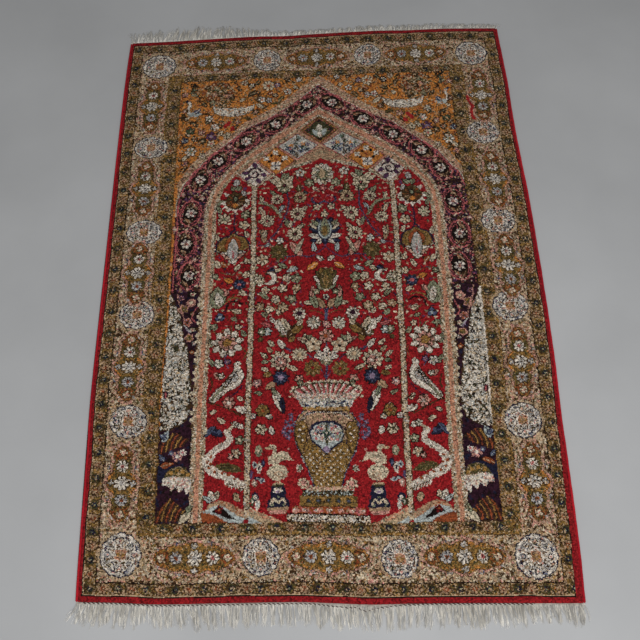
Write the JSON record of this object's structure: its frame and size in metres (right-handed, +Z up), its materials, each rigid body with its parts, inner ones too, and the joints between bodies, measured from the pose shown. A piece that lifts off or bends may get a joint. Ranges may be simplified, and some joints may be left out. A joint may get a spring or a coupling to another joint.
{
  "type": "oriental prayer rug",
  "caption": "Flat knotted prayer rug with a pointed arch and vase field, wide floral border, red edges and fringed ends.",
  "frame": {"origin": "on the floor, under the middle of the rug with its fringes", "axes": "+Y along the rug towards the point of its arch, +Z up from the floor, +X to the right seen from the near end"},
  "size_m": [0.9604, 1.4742, 0.006],
  "materials": {
    "knotted_pile": "clipped knotted pile, patterned",
    "overcast_yarn": "wrapped red yarn",
    "warp_yarn": "pale cotton warps, matte"
  },
  "bodies": {
    "root": {"rug": "knotted_pile", "selvedge_left": "overcast_yarn", "selvedge_right": "overcast_yarn", "fringe_near": "warp_yarn", "fringe_far": "warp_yarn"}
  },
  "joints": []
}
